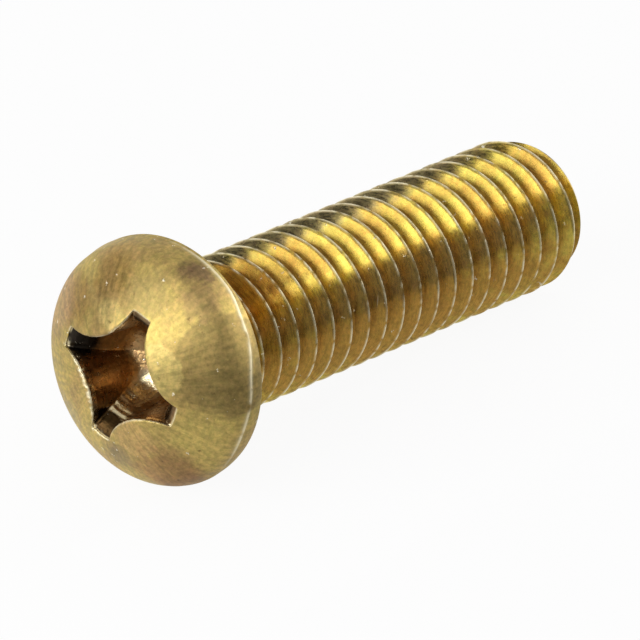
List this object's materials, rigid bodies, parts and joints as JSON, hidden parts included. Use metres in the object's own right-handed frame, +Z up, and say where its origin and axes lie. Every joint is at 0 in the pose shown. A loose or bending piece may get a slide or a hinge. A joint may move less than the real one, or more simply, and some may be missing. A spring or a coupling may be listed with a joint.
{
  "type": "machine screw",
  "caption": "Brass machine screw with a low domed head, a cross recess, a full-length right-hand metric thread and a chamfered end, lying on its side.",
  "frame": {"origin": "centre of the foot of the bounding box, on the surface that the screw lies on", "axes": "+X runs from the head to the end of the screw, which dips 5.2 degrees below it, +Z is up"},
  "size_m": [0.0242, 0.0094, 0.0094],
  "materials": {
    "brass": "tarnished bare brass, satin on the head and brighter on the thread"
  },
  "bodies": {
    "root": {"screw": "brass"}
  },
  "joints": []
}
